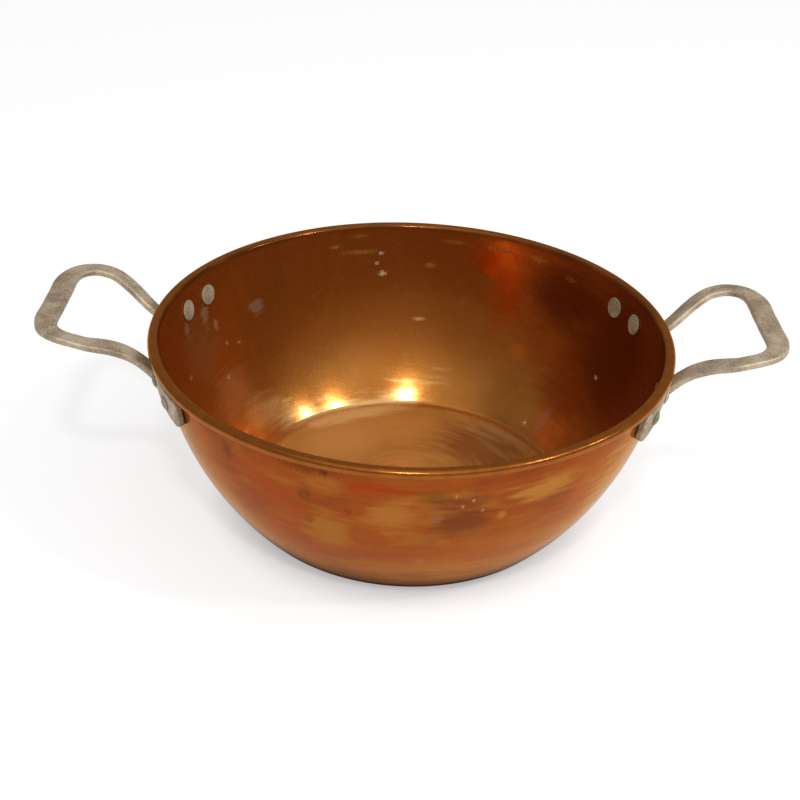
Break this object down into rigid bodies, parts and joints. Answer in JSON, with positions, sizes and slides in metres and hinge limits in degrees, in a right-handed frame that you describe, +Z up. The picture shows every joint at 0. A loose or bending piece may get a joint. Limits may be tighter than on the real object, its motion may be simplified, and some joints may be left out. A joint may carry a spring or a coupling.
{
  "type": "copper basin",
  "caption": "Deep round copper basin with a flat base, a rolled rim and a riveted loop handle on each side, for boiling jam or syrup.",
  "frame": {"origin": "centre of the flat base, on the surface that the basin stands on", "axes": "+Z up through the open mouth, +X from the bowl's axis to the right handle, +Y away from the viewer of the picture"},
  "size_m": [0.4476, 0.32, 0.132],
  "materials": {
    "copper": "polished copper, worn and heat tinted",
    "handle_metal": "cast aluminium, dull and worn",
    "rivet_metal": "dull aluminium"
  },
  "bodies": {
    "root": {"bowl": "copper", "left_handle": "handle_metal", "right_handle": "handle_metal", "left_handle_rivets": "rivet_metal", "right_handle_rivets": "rivet_metal"}
  },
  "joints": []
}
